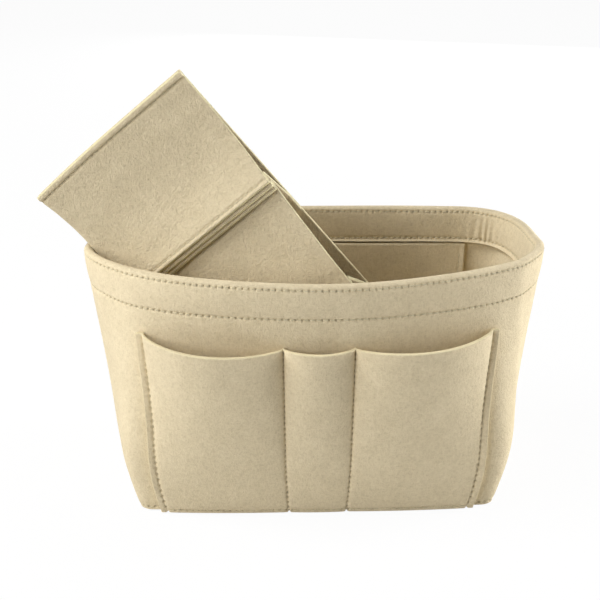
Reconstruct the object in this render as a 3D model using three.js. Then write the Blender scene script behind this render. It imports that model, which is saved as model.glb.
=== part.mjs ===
// Felt purse organizer: a tapered felt basket with sewn-on pockets and a loose divider with three cells.
// Millimetres, +Z up, +Y to the back. The origin is the middle of the base's underside.
import * as THREE from 'three';

// Felt sheet, sewing thread, and the clearance between pieces that lie against each other
const FELT = 3;
const THREAD = 0.8;
const GAP = 0.3;

// Rim of the basket: pointed at both ends, rounded in front, nearly straight with two corners at the back
const HEIGHT = 150;
const RIM_HALF_LENGTH = 140;
const RIM_FRONT = 69;
const RIM_ROUNDNESS = 1.85;
const RIM_BACK = 72;
const RIM_BACK_BOW = 3;
const RIM_CORNER_INSET = 7;
const RIM_CORNER_FILLET = 45;

// Base of the basket, and how far the walls swell out above it
const BASE_HALF_LENGTH = 108;
const BASE_HALF_DEPTH = 62;
const BASE_BOW = 2;
const BASE_CORNER = 9;
const SIDE_SWELL = 12;
const FACE_SWELL = 4;
const SWELL_HEIGHT = 45;

// Hem: the felt turned in over the rim and sewn with two rows, each measured down from the rim
const HEM_DEPTH = 23.7;
const RIM_ROW = 3.5;
const HEM_ROW_MARGIN = 2.7;
const BASE_ROW = 2.4;

// Front pocket panel: places along the wall from the middle, and how far each pocket stands open
const POCKET_DROP = 38.5;
const POCKET_EDGE_LIFT = 3;
const POCKET_MOUTH_HALF = 105;
const POCKET_FOOT_HALF = 95.2;
const POCKET_WAIST = 3;
const POCKET_SEAM_MOUTH = 20;
const POCKET_SEAM_FOOT = 17.5;
const POCKET_HEM = 3.6;
const LEFT_POCKET_DEPTH = 18;
const MIDDLE_POCKET_DEPTH = 8;
const RIGHT_POCKET_DEPTH = 15;
const POCKET_FOOT_DEPTH = 0.6;
const POCKET_FLARE = 1.2;

// Slip pocket on the inside of the back wall
const INNER_POCKET_HALF = 104;
const INNER_POCKET_DROP = 5.3;
const INNER_POCKET_DEPTH = 9;
const INNER_POCKET_FOOT_DEPTH = 1;
const SEAM_END_MARGIN = 3;

// Loose divider: cells side by side, each front panel sewn to a folded strip and to the next panel at a ridge
const CELL_LENGTH = 78;
const DIVIDER_HEIGHT = 110.5;
const FIRST_RIDGE_DEPTH = 21.5;
const SECOND_RIDGE_DEPTH = 38;
const FIRST_PANEL_FLARE = 2.8;
const THIRD_PANEL_BOW = 4;
const RIDGE_OVERHANG = 10;
const STRIP_LEAN = 25;
const STRIP_FOOT = 12;
const END_SEAM_WIDTH = 5.4;
const RIDGE_ROW = 3;
const DIVIDER_TILT = THREE.MathUtils.degToRad(50.2);
const DIVIDER_YAW = THREE.MathUtils.degToRad(1);
const DIVIDER_SETBACK = 7.8;

// Facet counts
const WALL_COLUMNS = 46;
const TUCK_STEPS = 4;
const FOLD_STEPS = 4;
const UPPER_STEPS = 3;
const WIDE_POCKET_COLUMNS = 12;
const MIDDLE_POCKET_COLUMNS = 6;
const INNER_POCKET_COLUMNS = 16;
const PANEL_STEPS = 8;
const THREAD_SIDES = 4;
const SEAM_STEPS = 8;

// Looks
const FELT_COLOUR = '#dccfae';
const THREAD_COLOUR = '#d3c6a2';
const FELT_ROUGHNESS = 0.95;
const THREAD_ROUGHNESS = 0.75;

const UP = new THREE.Vector3(0, 0, 1);

// Geometry helpers

// Closed solid from points and triangles, turned so that its faces point out
function closedSolid(points, triangles) {
  let volume = 0;
  const normal = new THREE.Vector3();
  for (const [a, b, c] of triangles) {
    volume += points[a].dot(normal.crossVectors(points[b], points[c]));
  }
  const outward = volume > 0 ? triangles : triangles.map(([a, b, c]) => [a, c, b]);
  const geometry = new THREE.BufferGeometry();
  const positions = points.flatMap((point) => point.toArray());
  geometry.setAttribute('position', new THREE.Float32BufferAttribute(positions, 3));
  geometry.setIndex(outward.flat());
  geometry.computeVertexNormals();
  return geometry;
}

// Triangles that fill a flat outline, each turned the way that the outline runs
function fillOutline(outline) {
  const turn = Math.sign(THREE.ShapeUtils.area(outline));
  return THREE.ShapeUtils.triangulateShape(outline, []).map(([a, b, c]) => {
    const corners = [outline[a], outline[b], outline[c]];
    return Math.sign(THREE.ShapeUtils.area(corners)) === turn ? [a, b, c] : [a, c, b];
  });
}

// Solid through rings of points, with the triangles that cap an end; with no cap the last ring joins the first
function loft(rings, cap) {
  const count = rings[0].length;
  const spans = cap ? rings.length - 1 : rings.length;
  const triangles = [];
  for (const corners of cap ?? []) {
    triangles.push(corners.toReversed());
    triangles.push(corners.map((corner) => corner + spans * count));
  }
  for (let i = 0; i < spans; i++) {
    const here = i * count;
    const there = ((i + 1) % rings.length) * count;
    for (let j = 0; j < count; j++) {
      const k = (j + 1) % count;
      triangles.push([here + j, here + k, there + k]);
      triangles.push([here + j, there + k, there + j]);
    }
  }
  return closedSolid(rings.flat(), triangles);
}

// Solid between two grids of points, the two faces of a bent sheet of felt
function feltSheet(outer, inner) {
  const columns = outer.length;
  const levels = outer[0].length;
  const triangles = [];
  const quad = (a, b, c, d) => triangles.push([a, b, c], [a, c, d]);
  const out = (i, j) => i * levels + j;
  const back = (i, j) => columns * levels + i * levels + j;
  for (let i = 0; i < columns - 1; i++) {
    for (let j = 0; j < levels - 1; j++) {
      quad(out(i, j), out(i + 1, j), out(i + 1, j + 1), out(i, j + 1));
      quad(back(i, j), back(i, j + 1), back(i + 1, j + 1), back(i + 1, j));
    }
    const top = levels - 1;
    quad(out(i, 0), back(i, 0), back(i + 1, 0), out(i + 1, 0));
    quad(out(i, top), out(i + 1, top), back(i + 1, top), back(i, top));
  }
  const end = columns - 1;
  for (let j = 0; j < levels - 1; j++) {
    quad(out(0, j), out(0, j + 1), back(0, j + 1), back(0, j));
    quad(out(end, j), back(end, j), back(end, j + 1), out(end, j + 1));
  }
  return closedSolid([...outer.flat(), ...inner.flat()], triangles);
}

// Sewing thread through stations, each a point with two directions square to the thread
function threadSolid(stations, isLoop = false) {
  const radius = THREAD / 2;
  const angles = Array.from({ length: THREAD_SIDES }, (_, k) => (2 * Math.PI * k) / THREAD_SIDES);
  const section = angles.map((angle) => new THREE.Vector2(Math.cos(angle), Math.sin(angle)));
  const rings = stations.map(({ at, out, across }) => section.map(
    (corner) => at.clone().addScaledVector(out, radius * corner.x).addScaledVector(across, radius * corner.y),
  ));
  return loft(rings, isLoop ? undefined : fillOutline(section));
}

// Whole numbers from 0 to count as shares from 0 to 1
function shares(count) {
  return Array.from({ length: count + 1 }, (_, k) => k / count);
}

function feltPiece(name, geometry) {
  const material = new THREE.MeshStandardMaterial({
    color: FELT_COLOUR, roughness: FELT_ROUGHNESS, metalness: 0,
  });
  const mesh = new THREE.Mesh(geometry, material);
  mesh.name = name;
  return mesh;
}

function threadPiece(name, stations, isLoop) {
  const material = new THREE.MeshStandardMaterial({
    color: THREAD_COLOUR, roughness: THREAD_ROUGHNESS, metalness: 0,
  });
  const mesh = new THREE.Mesh(threadSolid(stations, isLoop), material);
  mesh.name = name;
  return mesh;
}

// Basket outlines

// Half length of the front half of the rim at a distance in front of the tips
function rimHalfLengthAt(y) {
  const rest = 1 - (Math.abs(y) / RIM_FRONT) ** RIM_ROUNDNESS;
  return RIM_HALF_LENGTH * rest ** (1 / RIM_ROUNDNESS);
}

// Half length of the back half of the rim at a distance behind the tips, along its straight ends
function backRimHalfLengthAt(y) {
  return RIM_HALF_LENGTH - RIM_CORNER_INSET * Math.max(0, y) / (RIM_BACK - RIM_BACK_BOW);
}

// Front half of the rim, from the left tip to the right tip
class FrontRim extends THREE.Curve {
  getPoint(t, target = new THREE.Vector2()) {
    const power = 2 / RIM_ROUNDNESS;
    const cosine = Math.cos(Math.PI * t);
    const sine = Math.abs(Math.sin(Math.PI * t));
    const x = -RIM_HALF_LENGTH * Math.sign(cosine) * Math.abs(cosine) ** power;
    return target.set(x, -RIM_FRONT * sine ** power);
  }
}

// Half outline with straight ends, two rounded corners and a bowed long edge; side is -1 in front, 1 behind
function corneredHalf(side, tipX, cornerX, depth, bow, fillet) {
  const cornerY = depth - bow;
  const cut = fillet / Math.hypot(tipX - cornerX, cornerY);
  const endX = THREE.MathUtils.lerp(cornerX, tipX, cut);
  const endY = side * cornerY * (1 - cut);
  const edgeX = cornerX - fillet;
  const edgeY = side * cornerY;
  const path = new THREE.Path();
  path.moveTo(-tipX, 0);
  path.lineTo(-endX, endY);
  path.quadraticCurveTo(-cornerX, edgeY, -edgeX, edgeY);
  path.quadraticCurveTo(0, side * (depth + bow), edgeX, edgeY);
  path.quadraticCurveTo(cornerX, edgeY, endX, endY);
  path.lineTo(tipX, 0);
  return path;
}

function baseHalf(side) {
  return corneredHalf(side, BASE_HALF_LENGTH, BASE_HALF_LENGTH, BASE_HALF_DEPTH, BASE_BOW, BASE_CORNER);
}

// The straight part of the wall carried down to the floor, outside the base by the swell
function footHalf(side) {
  const length = BASE_HALF_LENGTH + SIDE_SWELL;
  const depth = BASE_HALF_DEPTH + FACE_SWELL;
  return corneredHalf(side, length, length, depth, BASE_BOW, BASE_CORNER + SIDE_SWELL / 2);
}

const FRONT = { side: -1, rim: new FrontRim(), foot: footHalf(-1), base: baseHalf(-1) };
const BACK = {
  side: 1,
  rim: corneredHalf(1, RIM_HALF_LENGTH, RIM_HALF_LENGTH - RIM_CORNER_INSET, RIM_BACK, RIM_BACK_BOW,
    RIM_CORNER_FILLET),
  foot: footHalf(1),
  base: baseHalf(1),
};
const FRONT_LENGTH = FRONT.rim.getLength();
const BACK_LENGTH = BACK.rim.getLength();

// Outer face of a wall in plan at a height; share runs from the left tip (0) to the right tip (1)
function wallPlan(half, share, z) {
  const along = THREE.MathUtils.clamp(share, 0, 1);
  const rim = half.rim.getPointAt(along);
  const foot = half.foot.getPointAt(along);
  const base = half.base.getPointAt(along);
  const tuck = Math.max(0, 1 - z / SWELL_HEIGHT) ** 2;
  return rim.sub(foot).multiplyScalar(z / HEIGHT).add(foot).addScaledVector(base.sub(foot), tuck);
}

// Outward direction of a wall in plan; the two walls meet square at the tips
function wallOut(half, share, z) {
  if (share <= 0 || share >= 1) {
    return new THREE.Vector3(share <= 0 ? -1 : 1, 0, 0);
  }
  const step = 1 / WALL_COLUMNS;
  const run = wallPlan(half, share + step, z).sub(wallPlan(half, share - step, z)).normalize();
  return new THREE.Vector3(-half.side * run.y, half.side * run.x, 0);
}

// Point at a distance out from a wall's outer face; half the seam's gap parts the two walls at the tips
function wallPoint(half, share, z, distance) {
  const plan = wallPlan(half, share, z);
  const point = new THREE.Vector3(plan.x, plan.y + half.side * GAP / 2, z);
  return point.addScaledVector(wallOut(half, share, z), distance);
}

// Basket walls and base

// Heights where the wall tucks in towards the base
const TUCK_HEIGHTS = shares(TUCK_STEPS).map((share) => share * SWELL_HEIGHT);

// Heights up a panel that lies along a wall: it bends where the wall tucks in
function panelHeights(bottom, top) {
  const upper = shares(UPPER_STEPS).slice(1).map((share) => THREE.MathUtils.lerp(SWELL_HEIGHT, top, share));
  return [bottom, ...TUCK_HEIGHTS.slice(1), ...upper];
}

// Wall section as [distance in from the outer face, height]: up the outside, over the fold, down the inside
function wallSection() {
  const heights = panelHeights(0, HEIGHT - HEM_DEPTH);
  const outside = heights.map((z) => [0, z]);
  const fold = shares(FOLD_STEPS).map((share) => [
    FELT * (1 - Math.cos(Math.PI * share)),
    HEIGHT - FELT + FELT * Math.sin(Math.PI * share),
  ]);
  const hemEdge = [2 * FELT, HEIGHT - HEM_DEPTH];
  const inside = heights.toReversed().map((z) => [FELT, z]);
  return [...outside, ...fold, hemEdge, ...inside];
}

// End of a wall: a ladder up the single felt, then a fan over the folded hem
function wallCap() {
  const top = TUCK_STEPS + UPPER_STEPS;
  const last = wallSection().length - 1;
  const innerTop = last - top;
  const cap = [];
  for (let level = 0; level < top; level++) {
    cap.push([level, level + 1, last - level - 1]);
    cap.push([level, last - level - 1, last - level]);
  }
  for (let corner = top; corner < innerTop - 1; corner++) {
    cap.push([corner, corner + 1, innerTop]);
  }
  return cap;
}

function wallSolid(half) {
  const section = wallSection();
  const rings = shares(WALL_COLUMNS).map(
    (share) => section.map(([depth, z]) => wallPoint(half, share, z, -depth)),
  );
  return loft(rings, wallCap());
}

// Points all round the basket at one height and distance from the outer faces
function aroundBasket(z, distance) {
  const columns = shares(WALL_COLUMNS);
  const front = columns.map((share) => wallPoint(FRONT, share, z, distance));
  const back = columns.toReversed().map((share) => wallPoint(BACK, share, z, distance));
  return [...front, ...back];
}

function basePanel() {
  const outline = aroundBasket(0, -FELT - GAP).map((point) => new THREE.Vector2(point.x, point.y));
  return new THREE.ExtrudeGeometry(new THREE.Shape(outline), { depth: FELT, bevelEnabled: false });
}

// Rows of thread round the basket

// Distance of a thread's middle from the felt that it lies on
const THREAD_RISE = GAP + THREAD / 2;

function wallStation(half, share, z, distance) {
  return { at: wallPoint(half, share, z, distance), out: wallOut(half, share, z), across: UP };
}

// A row that runs right round the basket at a distance below the rim
function rimRow(drop, distance) {
  const z = HEIGHT - drop;
  const columns = shares(WALL_COLUMNS);
  const front = columns.map((share) => wallStation(FRONT, share, z, distance));
  const back = columns.toReversed().map((share) => wallStation(BACK, share, z, distance));
  return [...front, ...back];
}

// The row at the foot of the walls, from the pocket panel's right edge round the back to its left edge
function baseRow() {
  const edge = pocketShare(1, BASE_ROW);
  const clear = 1 / WALL_COLUMNS;
  const columns = shares(WALL_COLUMNS);
  const row = (half, share) => wallStation(half, share, BASE_ROW, THREAD_RISE);
  const right = columns.filter((share) => share > edge + clear).map((share) => row(FRONT, share));
  const back = columns.toReversed().map((share) => row(BACK, share));
  const left = columns.filter((share) => share < 1 - edge - clear).map((share) => row(FRONT, share));
  return [...right, ...back, ...left];
}

// Front pocket panel

const POCKET_MOUTH = HEIGHT - POCKET_DROP;

// Half width of the panel along the wall at a height: its sides draw in a little on the swelled wall
function pocketHalf(z) {
  const rise = z / POCKET_MOUTH;
  const straight = THREE.MathUtils.lerp(POCKET_FOOT_HALF, POCKET_MOUTH_HALF, rise);
  return straight - POCKET_WAIST * Math.sin(Math.PI * rise);
}

// Share along the front wall for a place across the panel: 0 in the middle, 1 at the right edge
function pocketShare(place, z) {
  return 0.5 + (place * pocketHalf(z)) / FRONT_LENGTH;
}

// Place across the panel of the right middle seam and of the right edge seam, at a height
function seamPlaces(z) {
  const edge = pocketHalf(z);
  const middle = THREE.MathUtils.lerp(POCKET_SEAM_FOOT, POCKET_SEAM_MOUTH, z / POCKET_MOUTH);
  return { middle: middle / edge, side: 1 - POCKET_HEM / edge };
}

// Columns across the panel: [name of the span, share across that span]
function pocketColumns() {
  const span = (name, count) => shares(count).slice(1).map((share) => [name, share]);
  return [
    ['leftHem', 0], ...span('leftHem', 1), ...span('left', WIDE_POCKET_COLUMNS),
    ...span('middle', MIDDLE_POCKET_COLUMNS), ...span('right', WIDE_POCKET_COLUMNS), ...span('rightHem', 1),
  ];
}

// How far a pocket stands off the wall, across its width and up its height, opening faster near the mouth
function pocketBulge(depth, footDepth, share, rise) {
  return THREE.MathUtils.lerp(footDepth, depth, rise ** POCKET_FLARE) * Math.sin(Math.PI * share);
}

// Place across the panel and stand-off of one column at a height
function pocketColumn([name, share], z) {
  const { middle, side } = seamPlaces(z);
  const rise = z / POCKET_MOUTH;
  const spans = {
    leftHem: [-1, -side, 0],
    left: [-side, -middle, LEFT_POCKET_DEPTH],
    middle: [-middle, middle, MIDDLE_POCKET_DEPTH],
    right: [middle, side, RIGHT_POCKET_DEPTH],
    rightHem: [side, 1, 0],
  };
  const [from, to, depth] = spans[name];
  const bulge = depth ? pocketBulge(depth, POCKET_FOOT_DEPTH, share, Math.min(rise, 1)) : 0;
  return { place: THREE.MathUtils.lerp(from, to, share), bulge };
}

// Height of the mouth at a place across the panel: it climbs outside the middle seams
function pocketTop(place) {
  const { middle } = seamPlaces(POCKET_MOUTH);
  const climb = Math.max(0, (Math.abs(place) - middle) / (1 - middle));
  return POCKET_MOUTH + POCKET_EDGE_LIFT * climb;
}

function frontPocketPanel() {
  const grid = (distance) => pocketColumns().map((column) => {
    const top = pocketTop(pocketColumn(column, POCKET_MOUTH).place);
    return panelHeights(0, top).map((z) => {
      const level = z * POCKET_MOUTH / top;
      const { place, bulge } = pocketColumn(column, level);
      return wallPoint(FRONT, pocketShare(place, level), z, GAP + bulge + distance);
    });
  });
  return feltSheet(grid(FELT), grid(0));
}

// Stations up a seam on the panel's outer face
function pocketSeam(placeAt) {
  const from = BASE_ROW + SEAM_END_MARGIN;
  const to = POCKET_MOUTH - SEAM_END_MARGIN;
  return shares(SEAM_STEPS).map((share) => {
    const z = THREE.MathUtils.lerp(from, to, share);
    const along = pocketShare(placeAt(z), z);
    const out = wallOut(FRONT, along, z);
    const across = new THREE.Vector3().crossVectors(UP, out);
    return { at: wallPoint(FRONT, along, z, GAP + FELT + THREAD_RISE), out, across };
  });
}

// The row along the panel's foot, over its outer face
function pocketBaseRow() {
  const inside = (column) => !column[0].endsWith('Hem');
  return pocketColumns().filter(inside).map((column) => {
    const { place, bulge } = pocketColumn(column, BASE_ROW);
    const distance = GAP + FELT + bulge + THREAD_RISE;
    return wallStation(FRONT, pocketShare(place, BASE_ROW), BASE_ROW, distance);
  });
}

// Inner slip pocket

const INNER_FLOOR = FELT + GAP;
const INNER_POCKET_TOP = HEIGHT - HEM_DEPTH - INNER_POCKET_DROP;

function innerPocketShare(place) {
  return 0.5 + (place * INNER_POCKET_HALF) / BACK_LENGTH;
}

function innerPocketPanel() {
  const hem = POCKET_HEM / INNER_POCKET_HALF;
  const inside = shares(INNER_POCKET_COLUMNS).map((share) => THREE.MathUtils.lerp(-1 + hem, 1 - hem, share));
  const grid = (distance) => [-1, ...inside, 1].map((place) => {
    const across = THREE.MathUtils.clamp((place + 1 - hem) / (2 - 2 * hem), 0, 1);
    return panelHeights(INNER_FLOOR, INNER_POCKET_TOP).map((z) => {
      const rise = THREE.MathUtils.inverseLerp(INNER_FLOOR, INNER_POCKET_TOP, z);
      const bulge = pocketBulge(INNER_POCKET_DEPTH, INNER_POCKET_FOOT_DEPTH, across, rise);
      return wallPoint(BACK, innerPocketShare(place), z, -FELT - GAP - bulge - distance);
    });
  });
  return feltSheet(grid(FELT), grid(0));
}

// Stations up the inside of a wall, clear of the floor and of the hem
function insideSeam(half, share, depth) {
  const from = INNER_FLOOR + SEAM_END_MARGIN;
  const to = INNER_POCKET_TOP - SEAM_END_MARGIN;
  return shares(SEAM_STEPS).map((rise) => {
    const z = THREE.MathUtils.lerp(from, to, rise);
    const out = wallOut(half, share, z);
    const across = new THREE.Vector3().crossVectors(UP, out);
    return { at: wallPoint(half, share, z, -depth - THREAD_RISE), out, across };
  });
}

// Divider, in its own frame: X along its length, Y from its bottom edge to its mouths, Z to its front

const DIVIDER_LENGTH = 3 * CELL_LENGTH;
const SEAM_ROW = END_SEAM_WIDTH / 2;
const ON_BACK_SHEET = FELT + GAP;

// Height of a bent line at a place along the divider
function heightAt(line, x) {
  const after = Math.max(1, line.findIndex(([place]) => place >= x));
  const [[x0, z0], [x1, z1]] = line.slice(after - 1, after + 1);
  return THREE.MathUtils.mapLinear(x, x0, x1, z0, z1);
}

// Folded strip at the end of a front panel, from the line of the panel's back face: a lip under the end, a wall
// that leans down to the back sheet, and a foot there. The next front panel starts between lip and wall.
function foldedStrip(panel) {
  const [end] = panel.at(-1);
  const fold = end - RIDGE_OVERHANG;
  const lipTop = (x) => heightAt(panel, x) - GAP;
  const lipSlope = (lipTop(end) - lipTop(fold)) / RIDGE_OVERHANG;
  const wallSlope = (lipTop(fold) - ON_BACK_SHEET) / STRIP_LEAN;
  const wallThickness = FELT * Math.hypot(1, wallSlope);
  const base = fold + STRIP_LEAN;
  const foot = base + STRIP_FOOT;
  const crotch = fold + (FELT + wallThickness) / (lipSlope + wallSlope);
  const next = crotch + (FELT + 2 * GAP) / (lipSlope + wallSlope);
  return {
    outline: [
      [end, lipTop(end)],
      [fold, lipTop(fold)],
      [base, ON_BACK_SHEET],
      [foot, ON_BACK_SHEET],
      [foot, ON_BACK_SHEET + FELT],
      [base + (wallThickness - FELT) / wallSlope, ON_BACK_SHEET + FELT],
      [crotch, lipTop(crotch) - FELT],
      [end, lipTop(end) - FELT],
    ],
    footMiddle: base + STRIP_FOOT / 2,
    nextPanel: [next, lipTop(fold) + lipSlope * (next - fold) - 2 * FELT - GAP],
  };
}

// Line of each front panel's back face, as places along the divider with the height there
const FIRST_RUN = CELL_LENGTH - END_SEAM_WIDTH;
const FIRST_BENDS = [...shares(PANEL_STEPS).map((share) => share * (FIRST_RUN - RIDGE_OVERHANG)), FIRST_RUN];
const FIRST_PANEL = [
  [0, ON_BACK_SHEET],
  ...FIRST_BENDS.map((run) => [
    END_SEAM_WIDTH + run,
    ON_BACK_SHEET + FIRST_RIDGE_DEPTH * (run / FIRST_RUN) ** FIRST_PANEL_FLARE,
  ]),
];
const FIRST_STRIP = foldedStrip(FIRST_PANEL);
const SECOND_PANEL = [FIRST_STRIP.nextPanel, [2 * CELL_LENGTH, ON_BACK_SHEET + SECOND_RIDGE_DEPTH]];
const SECOND_STRIP = foldedStrip(SECOND_PANEL);
const THIRD_PANEL = [
  ...shares(PANEL_STEPS).map((share) => {
    const [from, height] = SECOND_STRIP.nextPanel;
    const bow = THIRD_PANEL_BOW * Math.sin(Math.PI * share);
    return [
      THREE.MathUtils.lerp(from, DIVIDER_LENGTH - END_SEAM_WIDTH, share),
      THREE.MathUtils.lerp(height, ON_BACK_SHEET, share) + bow,
    ];
  }),
  [DIVIDER_LENGTH, ON_BACK_SHEET],
];
const PANELS = [FIRST_PANEL, SECOND_PANEL, THIRD_PANEL];
const STRIPS = [FIRST_STRIP, SECOND_STRIP];

// Solid with one outline in X and Z, from the bottom edge to the mouths
function dividerSolid(outline) {
  const ring = (y) => outline.map(([x, z]) => new THREE.Vector3(x, y, z));
  const section = outline.map(([x, z]) => new THREE.Vector2(x, z));
  return loft([ring(0), ring(DIVIDER_HEIGHT)], fillOutline(section));
}

function dividerPanel(back) {
  const front = back.toReversed().map(([x, z]) => [x, z + FELT]);
  return dividerSolid([...back, ...front]);
}

// Stations of a straight seam from the bottom edge to the mouths
function dividerSeam(x, z) {
  const out = new THREE.Vector3(0, 0, 1);
  const across = new THREE.Vector3(1, 0, 0);
  return [SEAM_END_MARGIN, DIVIDER_HEIGHT - SEAM_END_MARGIN].map(
    (y) => ({ at: new THREE.Vector3(x, y, z), out, across }),
  );
}

// Height of a thread's middle on the front of a panel, at a place along the divider
function panelThreadHeight(panel, x) {
  const slope = (heightAt(panel, x + THREAD) - heightAt(panel, x - THREAD)) / (2 * THREAD);
  return heightAt(panel, x) + FELT + THREAD_RISE * Math.hypot(1, slope);
}

function dividerPieces() {
  const pieces = new THREE.Group();
  const sheet = [[0, 0], [DIVIDER_LENGTH, 0], [DIVIDER_LENGTH, FELT], [0, FELT]];
  pieces.add(feltPiece('divider_back_sheet', dividerSolid(sheet)));
  for (const [index, panel] of PANELS.entries()) {
    pieces.add(feltPiece(`divider_front_panel_${index + 1}`, dividerPanel(panel)));
  }
  for (const [index, { outline, footMiddle }] of STRIPS.entries()) {
    const ridge = (index + 1) * CELL_LENGTH - RIDGE_ROW;
    const ridgeHeight = panelThreadHeight(PANELS[index], ridge);
    pieces.add(feltPiece(`divider_strip_${index + 1}`, dividerSolid(outline)));
    pieces.add(threadPiece(`divider_ridge_stitch_${index + 1}`, dividerSeam(ridge, ridgeHeight)));
    pieces.add(threadPiece(`divider_foot_stitch_${index + 1}`, dividerSeam(footMiddle, -THREAD_RISE)));
  }
  const end = DIVIDER_LENGTH - SEAM_ROW;
  const firstHeight = panelThreadHeight(FIRST_PANEL, SEAM_ROW);
  const lastHeight = panelThreadHeight(THIRD_PANEL, end);
  pieces.add(threadPiece('divider_end_stitch_1', dividerSeam(SEAM_ROW, firstHeight)));
  pieces.add(threadPiece('divider_end_stitch_2', dividerSeam(end, lastHeight)));
  return pieces;
}

// The divider stands on its lower corner on the floor and leans with its bottom edge on the left end of the rim
function leaningDivider() {
  const cosTilt = Math.cos(DIVIDER_TILT);
  const sinTilt = Math.sin(DIVIDER_TILT);
  const floor = FELT + GAP;
  const toRim = (HEIGHT - floor) / sinTilt;
  const reach = FELT + heightAt(FIRST_PANEL, DIVIDER_LENGTH - toRim);
  const backY = DIVIDER_SETBACK - toRim * cosTilt * Math.sin(DIVIDER_YAW);
  const foldX = FELT - Math.min(rimHalfLengthAt(backY - reach), backRimHalfLengthAt(backY));
  const run = ((HEIGHT - FELT - floor) * cosTilt + FELT + GAP) / sinTilt;
  const pieces = dividerPieces();
  pieces.position.x = -DIVIDER_LENGTH;
  const divider = new THREE.Group();
  divider.add(pieces);
  divider.rotation.set(Math.PI / 2, DIVIDER_TILT, DIVIDER_YAW, 'ZYX');
  divider.position.set(foldX + run * Math.cos(DIVIDER_YAW), DIVIDER_SETBACK, floor);
  return divider;
}

// Basket

function basket() {
  const group = new THREE.Group();
  const outside = THREAD_RISE;
  const insideHem = -2 * FELT - THREAD_RISE;
  const hemRow = HEM_DEPTH - HEM_ROW_MARGIN;
  group.add(
    feltPiece('base_panel', basePanel()),
    feltPiece('front_wall', wallSolid(FRONT)),
    feltPiece('back_wall', wallSolid(BACK)),
    feltPiece('front_pocket_panel', frontPocketPanel()),
    feltPiece('inner_pocket_panel', innerPocketPanel()),
    threadPiece('rim_stitch_outer', rimRow(RIM_ROW, outside), true),
    threadPiece('rim_stitch_inner', rimRow(RIM_ROW, insideHem), true),
    threadPiece('hem_stitch_outer', rimRow(hemRow, outside), true),
    threadPiece('hem_stitch_inner', rimRow(hemRow, insideHem), true),
    threadPiece('base_stitch', baseRow()),
    threadPiece('pocket_base_stitch', pocketBaseRow()),
  );
  for (const [name, turn] of [['left', -1], ['right', 1]]) {
    const pocketEdge = innerPocketShare(turn * (1 - POCKET_HEM / INNER_POCKET_HALF));
    group.add(
      threadPiece(`pocket_side_stitch_${name}`, pocketSeam((z) => turn * seamPlaces(z).side)),
      threadPiece(`pocket_middle_stitch_${name}`, pocketSeam((z) => turn * seamPlaces(z).middle)),
      threadPiece(`inner_pocket_stitch_${name}`, insideSeam(BACK, pocketEdge, 2 * FELT + GAP)),
      threadPiece(`side_seam_stitch_${name}`, insideSeam(FRONT, turn < 0 ? 0 : 1, FELT)),
    );
  }
  return group;
}

const organizer = new THREE.Group();
organizer.add(basket(), leaningDivider());

export default organizer;
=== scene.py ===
# Looks of the felt purse organizer: felt sheets, stitches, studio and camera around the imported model.
# Sizes and places are millimetres in the model's frame; meshes, lights and the camera are set in metres.
import math

import bpy
import numpy as np
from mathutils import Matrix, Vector


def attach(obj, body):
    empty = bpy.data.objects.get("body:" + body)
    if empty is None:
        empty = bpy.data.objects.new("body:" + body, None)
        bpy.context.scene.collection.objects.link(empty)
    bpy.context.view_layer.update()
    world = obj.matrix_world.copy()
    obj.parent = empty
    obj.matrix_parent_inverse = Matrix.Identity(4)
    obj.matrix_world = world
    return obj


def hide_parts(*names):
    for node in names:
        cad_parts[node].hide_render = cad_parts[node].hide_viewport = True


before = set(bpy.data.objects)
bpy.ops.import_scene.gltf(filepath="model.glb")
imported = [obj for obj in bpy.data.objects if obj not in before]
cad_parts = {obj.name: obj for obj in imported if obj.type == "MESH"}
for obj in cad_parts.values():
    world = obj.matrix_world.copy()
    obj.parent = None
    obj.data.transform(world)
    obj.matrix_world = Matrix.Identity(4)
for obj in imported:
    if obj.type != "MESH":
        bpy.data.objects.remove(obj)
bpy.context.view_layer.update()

MM = 0.001

# Felt, thread and stitches
FELT = 3.0
THREAD = 0.65
GAP = 0.3
SEAM_GAP = 0.05
STITCH = 3.75
COLUMNS_PER_STITCH = 6
EDGE_ROUND = 0.45
THREAD_SINK = 0.2

# Shape of one stitch: how it rises and dips, and how unevenly it is sewn
STITCH_RISE = 0.05
STITCH_DIP = 0.7
STITCH_SWAY = 0.08
STITCH_LIFT = 0.04

# Basket
HEIGHT = 150.0
RIM_HALF_LENGTH = 140.0
RIM_FRONT = 69.0
RIM_ROUNDNESS = 1.85
RIM_BACK = 72.0
RIM_BACK_BOW = 3.0
RIM_CORNER_INSET = 7.0
RIM_CORNER_FILLET = 45.0
BASE_HALF_LENGTH = 108.0
BASE_HALF_DEPTH = 62.0
BASE_BOW = 2.0
BASE_CORNER = 9.0
SIDE_SWELL = 12.0
FACE_SWELL = 4.0
SWELL_HEIGHT = 45.0
TIP_ROUND = 7.0
CORNER_PLACE = 41.0
CORNER_WIDTH = 9.0
CORNER_RISE = 1.2
CORNER_FADE = 60.0

# Hem and stitch rows, as heights above the floor
HEM_BOTTOM = 126.3
RIM_ROW = 147.0
HEM_ROW = 129.0
BASE_ROW = 2.4

# How the hem puffs between its rows, its inner lip, and its wrinkles at the back corners
HEM_PUFF = 0.4
HEM_LIP = 1.3
WRINKLE_PLACE = 68.0
WRINKLE_SPREAD = 12.0
WRINKLE_PACE = 5.6
WRINKLE_DEPTH = 0.45

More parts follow.
